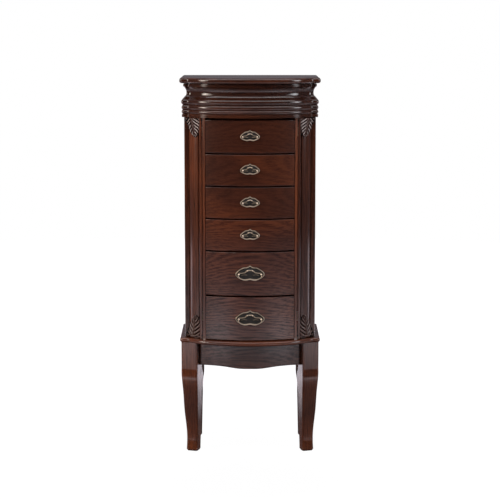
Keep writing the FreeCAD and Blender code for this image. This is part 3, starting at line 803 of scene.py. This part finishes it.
def stuffed(piece):
    # wraps the roll in cloth under pressure, keeps what it does to the surface, then smooths it
    remesh = piece.modifiers.new("remesh", "REMESH")
    remesh.mode = "VOXEL"
    remesh.voxel_size = rolls["voxel"]
    apply(piece)
    start = [v.co.copy() for v in piece.data.vertices]
    cloth = piece.modifiers.new("cloth", "CLOTH")
    cloth.settings.use_pressure = True
    cloth.settings.uniform_pressure_force = rolls["pressure"]
    cloth.settings.effector_weights.gravity = 0.0
    cloth.settings.mass = rolls["mass"]
    cloth.settings.shrink_min = rolls["shrink"]
    cloth.point_cache.frame_end = rolls["frames"]
    scene = bpy.context.scene
    for number in range(1, rolls["frames"] + 1):
        scene.frame_set(number)
    apply(piece)
    scene.frame_set(1)
    for vert, was in zip(piece.data.vertices, start):
        moved = vert.co - was
        if moved.length > rolls["most"]:
            moved *= rolls["most"] / moved.length
        vert.co = was + moved
    smooth = piece.modifiers.new("smooth", "SUBSURF")
    smooth.levels = 1
    apply(piece)


def fitted(piece, low, high):
    # brings the roll back inside its place on the tray
    points = [v.co for v in piece.data.vertices]
    for axis in range(3):
        least, most = min(p[axis] for p in points), max(p[axis] for p in points)
        for point in points:
            point[axis] = low[axis] + (point[axis] - least) * (high[axis] - low[axis]) / (most - least)


def makeRolls():
    radius, end, endSteps, stretches = rolls["radius"], rolls["end"], rolls["endSteps"], rolls["stretches"]
    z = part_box("ring_rolls")[0].z + radius
    for index, half in enumerate(rolls["halves"]):
        y = rolls["firstY"] - index * rolls["pitch"]
        stops = [-half + end * (1 - math.cos(math.pi / 2 * k / endSteps)) for k in range(endSteps)]
        stops += [-half + end + (2 * half - 2 * end) * k / stretches for k in range(stretches + 1)]
        stops += [-x for x in reversed(stops[:endSteps])]
        radii = []
        for x in stops:
            share = min(1.0, (half - abs(x)) / end)
            dome = rolls["blunt"] + (1 - rolls["blunt"]) * math.sqrt(max(0.0, 1 - (1 - share) ** 2))
            radii.append(radius * dome + rolls["ripple"] * math.sin(x * 210.0 + index))
        verts, faces = tube([Vector((x, y, z)) for x in stops], radii, rolls["sides"])
        piece = newPiece("ring_roll_%d" % (index + 1), [tuple(v) for v in verts], faces, padFelt)
        stuffed(piece)
        fitted(piece, (-half, y - radius, z - radius), (half, y + radius, z + radius))
        for face in piece.data.polygons:
            face.use_smooth = True
        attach(piece, "case")
        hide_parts("ring_rolls")


makeRolls()
print("ring rolls made")

steelLook = {"dull": (0.30, 0.24, 0.14), "bright": (0.52, 0.43, 0.27)}
mirrorLook = {"low": (0.86, 0.88, 0.89), "high": (0.92, 0.93, 0.93)}
# the rail's 6 mm and a hair more, so that its face stays wood
hookLook = {"dull": (0.34, 0.26, 0.14), "bright": (0.58, 0.46, 0.27), "railThick": 0.00601}


def steel(name):
    make = Finish(name)
    place = make.place()
    scratch = make.noise(place, 900.0, 3.0)
    return make.surface(
        Base_Color=make.mix(scratch, steelLook["dull"], steelLook["bright"]),
        Metallic=1.0,
        Roughness=scratch * 0.2 + 0.3,
        Normal=make.bump(scratch, 0.15, 0.0002),
    )


hingeSteel = steel("hinge_brassed_steel")
dress(hingeSteel, "case_hinge_leaves", "door_catches", "lid_hinge_leaves", "right_door_hinge_leaves",
      "left_door_hinge_leaves")


def silvered(name):
    make = Finish(name)
    haze = make.noise(make.place(), 14.0, 3.0)
    return make.surface(
        Base_Color=make.mix(haze, mirrorLook["low"], mirrorLook["high"]),
        Metallic=1.0,
        Roughness=make.ramp(haze, 0.4, 0.9) * 0.03 + 0.015,
    )


dress(silvered("mirror_silver"), "lid_mirror")


def hookedRail(name, face):
    # wooden rail outside the face, brassed hooks on the case's side of it
    make = Finish(name)
    place = make.place()
    x, y, z = make.split(place)
    fibre = make.noise(make.join(y * 9.0, z * 320.0, x * 320.0), 1.0, 3.0, 0.6)
    scratch = make.noise(place, 900.0, 3.0)
    hook = x.math("ABSOLUTE").math("LESS_THAN", face)
    timber = make.mix(fibre, woodLook["dark"], woodLook["middle"])
    metal = make.mix(scratch, hookLook["dull"], hookLook["bright"])
    return make.surface(
        Base_Color=make.mix(hook, timber, metal),
        Metallic=hook,
        Roughness=hook * (scratch * 0.2 - 0.12) + 0.42,
        Normal=make.bump(fibre * 0.4 + scratch * 0.2, 0.2, 0.0002),
    )


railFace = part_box("right_door_hook_rail")[1].x - hookLook["railThick"]
dress(hookedRail("hook_rail", railFace), "right_door_hook_rail", "left_door_hook_rail")
print("steel, mirror and hooks dressed")

screw = {
    "head": 0.0021,
    "dome": 0.0005,
    "rim": 0.0001,
    "sunk": 0.0002,
    "slot": 0.00042,
    "deep": 0.0004,
    "rings": 8,
    "sides": 40,
    # places on the back of the lid's hinges
    "plateY": 0.1346,
    "hingeX": (-0.090, 0.090),
    "lidZ": 1.0055,
    "caseZ": 0.989,
    "caseApart": 0.015,
}


def screwHead(centre, out, up):
    # low dome with a cross cut in it
    side = out.cross(up)
    sides = screw["sides"]
    verts = [centre + out * (screw["dome"] - screw["deep"])]
    faces = []
    for ring in range(1, screw["rings"] + 1):
        reach = screw["head"] * ring / screw["rings"]
        for k in range(sides):
            turn = 2 * math.pi * k / sides
            a, b = reach * math.cos(turn), reach * math.sin(turn)
            lift = screw["dome"] * (1 - (reach / screw["head"]) ** 2) + screw["rim"]
            if min(abs(a), abs(b)) < screw["slot"] and reach < screw["head"] * 0.8:
                lift -= screw["deep"]
            verts.append(centre + out * lift + side * a + up * b)
    start = len(verts)
    last = start - sides
    for vert in verts[last:]:
        verts.append(vert - out * ((vert - centre).dot(out) + screw["sunk"]))
    for k in range(sides):
        after = (k + 1) % sides
        faces.append((0, 1 + k, 1 + after))
        for ring in range(screw["rings"] - 1):
            a, b = 1 + ring * sides + k, 1 + ring * sides + after
            faces.append((a, b, b + sides, a + sides))
        faces.append((last + k, last + after, start + after, start + k))
    faces.append(tuple(range(start, start + sides)))
    return verts, faces


def makeScrews():
    back, up = Vector((0, 1, 0)), Vector((0, 0, 1))
    places = {"lid": [Vector((x, screw["plateY"], screw["lidZ"])) for x in screw["hingeX"]],
              "case": [Vector((x + shift, screw["plateY"], screw["caseZ"])) for x in screw["hingeX"]
                       for shift in (-screw["caseApart"], screw["caseApart"])]}
    for body, centres in places.items():
        verts, faces = joined([screwHead(centre, back, up) for centre in centres])
        piece = newPiece(body + "_hinge_screws", verts, faces, hingeSteel)
        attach(piece, body)


makeScrews()
print("screws made")

studio = {
    "cameraHeight": 1.1725,
    "cameraBack": 4.545,
    "pitch": 7.87,
    "lens": 120.8,
    "floorRadius": 4.4,
    # strength of the room in reflections: dim in front, a paler wall behind, brighter again overhead
    "dim": 0.03,
    "wall": 0.17,
    "wallRange": (-0.1, 0.5),
    "ceiling": 0.5,
    "ceilingRange": (0.45, 0.8),
    "roomColour": (0.95, 0.90, 1.0),
    # the floor's paper is darker round the pool's middle, a painted shadow, pale further out, and lit from
    # within behind the object
    "poolY": -0.4,
    "poolRange": (0.15, 1.5),
    "poolShadeColour": (0.10, 0.09, 0.10),
    "paper": (0.78, 0.77, 0.80),
    "sweep": 1.5,
    "sweepRange": (0.2, 0.7),
    "sweepColour": (0.97, 0.90, 1.0),
    # the camera sees it white, a little less so close to the feet
    "glow": 1.12,
    "nearGlow": 0.88,
    "glowRange": (0.5, 1.6),
}


def makeFloor():
    mesh = bpy.data.meshes.new("studio_floor")
    bm = bmesh.new()
    bmesh.ops.create_circle(bm, cap_ends=True, segments=96, radius=studio["floorRadius"])
    bm.to_mesh(mesh)
    bm.free()
    floor = bpy.data.objects.new("studio_floor", mesh)
    bpy.context.scene.collection.objects.link(floor)
    make = Finish("studio_floor_paper")
    x, y, _ = make.split(make.place())
    reach = (x * x + y * y) ** 0.5
    ahead = y - studio["poolY"]
    # painted shadow: the paper is darkened near the object
    pool = make.ramp((x * x + ahead * ahead) ** 0.5, *studio["poolRange"])
    shadedPaper = make.mix(pool, studio["poolShadeColour"], studio["paper"])
    seen = make.node("ShaderNodeLightPath", out="Is Camera Ray")
    behind = make.ramp(y, *studio["sweepRange"]) * studio["sweep"] * (1.0 - seen)
    sweepColour, white = (*studio["sweepColour"], 1.0), (1.0, 1.0, 1.0, 1.0)
    lit = make.node("ShaderNodeEmission", sockets={"Color": sweepColour, "Strength": behind})
    glow = make.node("ShaderNodeEmission", sockets={"Color": white, "Strength": studio["glow"]})
    paper = make.node("ShaderNodeBsdfDiffuse", sockets={"Color": shadedPaper})
    paper = make.node("ShaderNodeAddShader", sockets={0: paper, 1: lit})
    share = seen * (make.ramp(reach, *studio["glowRange"]) * (1.0 - studio["nearGlow"]) + studio["nearGlow"])
    both = make.node("ShaderNodeMixShader", sockets={0: share, 1: paper, 2: glow})
    make.tree.links.new(both.socket, make.output.inputs["Surface"])
    mesh.materials.append(make.material)


def areaLight(name, place, target, size, power, colour, spread=180.0):
    data = bpy.data.lights.new(name, "AREA")
    data.shape = "RECTANGLE"
    data.size, data.size_y = size
    data.energy = power
    data.color = colour
    data.spread = math.radians(spread)
    lamp = bpy.data.objects.new(name, data)
    bpy.context.scene.collection.objects.link(lamp)
    lamp.location = place
    lamp.rotation_euler = (Vector(target) - Vector(place)).to_track_quat("-Z", "Y").to_euler()


def makeWorld():
    # white to the camera, the room to every other ray
    world = bpy.data.worlds.new("studio")
    bpy.context.scene.world = world
    world.use_nodes = True
    tree = world.node_tree
    tree.nodes.clear()
    out = tree.nodes.new("ShaderNodeOutputWorld")
    rays = tree.nodes.new("ShaderNodeLightPath")
    way = tree.nodes.new("ShaderNodeTexCoord")
    parts = tree.nodes.new("ShaderNodeSeparateXYZ")
    rise = tree.nodes.new("ShaderNodeMapRange")
    ceiling = tree.nodes.new("ShaderNodeMapRange")
    both = tree.nodes.new("ShaderNodeMath")
    pale = tree.nodes.new("ShaderNodeBackground")
    room = tree.nodes.new("ShaderNodeBackground")
    mixer = tree.nodes.new("ShaderNodeMixShader")
    pale.inputs["Color"].default_value = (1.0, 1.0, 1.0, 1.0)
    room.inputs["Color"].default_value = (*studio["roomColour"], 1.0)
    for index, value in enumerate((*studio["wallRange"], studio["dim"], studio["wall"])):
        rise.inputs[index + 1].default_value = value
    for index, value in enumerate((*studio["ceilingRange"], 0.0, studio["ceiling"])):
        ceiling.inputs[index + 1].default_value = value
    tree.links.new(way.outputs["Generated"], parts.inputs[0])
    tree.links.new(parts.outputs["Z"], ceiling.inputs[0])
    tree.links.new(parts.outputs["Y"], rise.inputs[0])
    tree.links.new(rise.outputs[0], both.inputs[0])
    tree.links.new(ceiling.outputs[0], both.inputs[1])
    tree.links.new(both.outputs[0], room.inputs["Strength"])
    tree.links.new(rays.outputs["Is Camera Ray"], mixer.inputs[0])
    tree.links.new(room.outputs[0], mixer.inputs[1])
    tree.links.new(pale.outputs[0], mixer.inputs[2])
    tree.links.new(mixer.outputs[0], out.inputs["Surface"])


makeFloor()
makeWorld()
areaLight("key", (-3.3, -1.75, 1.7), (0, 0, 0.75), (2.2, 2.2), 15.0, (1.0, 0.88, 0.78), 40.0)
areaLight("fill", (3.3, -1.75, 1.7), (0, 0, 0.75), (2.2, 2.2), 10.0, (0.95, 0.96, 1.0), 40.0)
areaLight("overhead", (0, -1.0, 2.9), (0, -1.0, 0), (3.4, 1.3), 46.0, (1.0, 1.0, 1.0))
for name, x in (("floor_left", -1.05), ("floor_right", 1.05)):
    areaLight(name, (x, -1.5, 1.2), (x, -1.5, 0), (0.5, 0.5), 11.5, (1.0, 0.97, 0.98), 110.0)

cameraData = bpy.data.cameras.new("camera")
cameraData.lens = studio["lens"]
camera = bpy.data.objects.new("camera", cameraData)
bpy.context.scene.collection.objects.link(camera)
camera.location = (0.0, -studio["cameraBack"], studio["cameraHeight"])
camera.rotation_euler = (math.radians(90.0 - studio["pitch"]), 0.0, 0.0)
bpy.context.scene.camera = camera
bpy.context.scene.view_settings.view_transform = "Standard"
print("studio ready")
